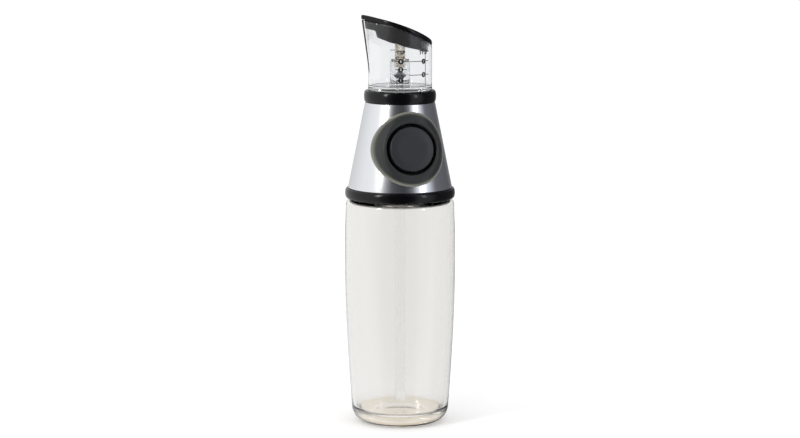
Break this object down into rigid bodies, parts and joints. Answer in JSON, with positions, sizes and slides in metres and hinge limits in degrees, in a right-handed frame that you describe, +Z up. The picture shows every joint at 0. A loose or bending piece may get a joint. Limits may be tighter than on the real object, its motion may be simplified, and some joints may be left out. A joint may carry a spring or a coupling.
{
  "type": "oil pump bottle",
  "caption": "Clear bottle with a screw-on pump head, round side button, measuring cup with a pouring spout and pull-off lid.",
  "frame": {"origin": "Centre of the bottle's base, on the surface it stands on.", "axes": "+Z is up along the bottle's axis, the button faces -Y and the pouring spout points to -X."},
  "size_m": [0.0782, 0.0782, 0.2915],
  "materials": {
    "bottle_glass": "clear polished glass",
    "clear_plastic": "clear moulded plastic",
    "black_plastic": "black gloss moulding",
    "satin_silver": "satin silver shell",
    "grey_rubber": "soft grey translucent rubber",
    "button_grey": "dark grey satin",
    "black_rubber": "matt black rubber",
    "clear_rubber": "milky silicone",
    "white_plastic": "natural moulded plastic",
    "steel": "plain steel"
  },
  "bodies": {
    "bottle": {"glass_bottle": "bottle_glass"},
    "gasket": {"neck_gasket": "clear_rubber"},
    "head": {"screw_insert": "white_plastic", "lower_collar": "black_plastic", "cone_housing": "satin_silver", "upper_collar": "black_plastic", "measuring_cup": "clear_plastic", "cup_seal": "clear_rubber", "return_spring": "steel", "button_bezel": "grey_rubber", "button_diaphragm": "black_rubber", "pump_body": "white_plastic", "inlet_socket": "white_plastic", "dip_tube": "clear_plastic", "riser_tube": "clear_rubber", "nozzle_cap": "clear_plastic", "housing_screw_1": "steel", "housing_screw_2": "steel", "housing_screw_3": "steel"},
    "button": {"button_cap": "button_grey", "plunger": "white_plastic", "piston_seal": "black_rubber"},
    "lid": {"lid": "black_plastic"},
    "inlet_valve": {"inlet_ball": "steel"},
    "outlet_valve": {"outlet_ball": "steel"}
  },
  "joints": [
    {"name": "head_lift", "type": "slide", "parent": "bottle", "child": "gasket", "axis": [0, 0, 1], "range_m": [0, 0.005]},
    {"name": "head_turn", "type": "hinge", "parent": "gasket", "child": "head", "pos_m": [0, 0, 0.173], "axis": [0, 0, 1], "range_deg": [0, 450]},
    {"name": "button_press", "type": "slide", "parent": "head", "child": "button", "axis": [0, 0.9804, -0.1968], "range_m": [0, 0.008], "stiffness_N_per_m": 900, "springref_m": -0.004, "deforming": ["return_spring", "button_diaphragm"]},
    {"name": "lid_lift", "type": "slide", "parent": "head", "child": "lid", "axis": [0, 0, 1], "range_m": [0, 0.035]},
    {"name": "inlet_ball_lift", "type": "slide", "parent": "head", "child": "inlet_valve", "axis": [0, 0, 1], "range_m": [0, 0.002]},
    {"name": "outlet_ball_lift", "type": "slide", "parent": "head", "child": "outlet_valve", "axis": [0, 0, 1], "range_m": [0, 0.002]}
  ],
  "couplings": [
    {"joint": "head_lift", "follows": "head_turn", "m_per_rad": 0.0006366}
  ]
}
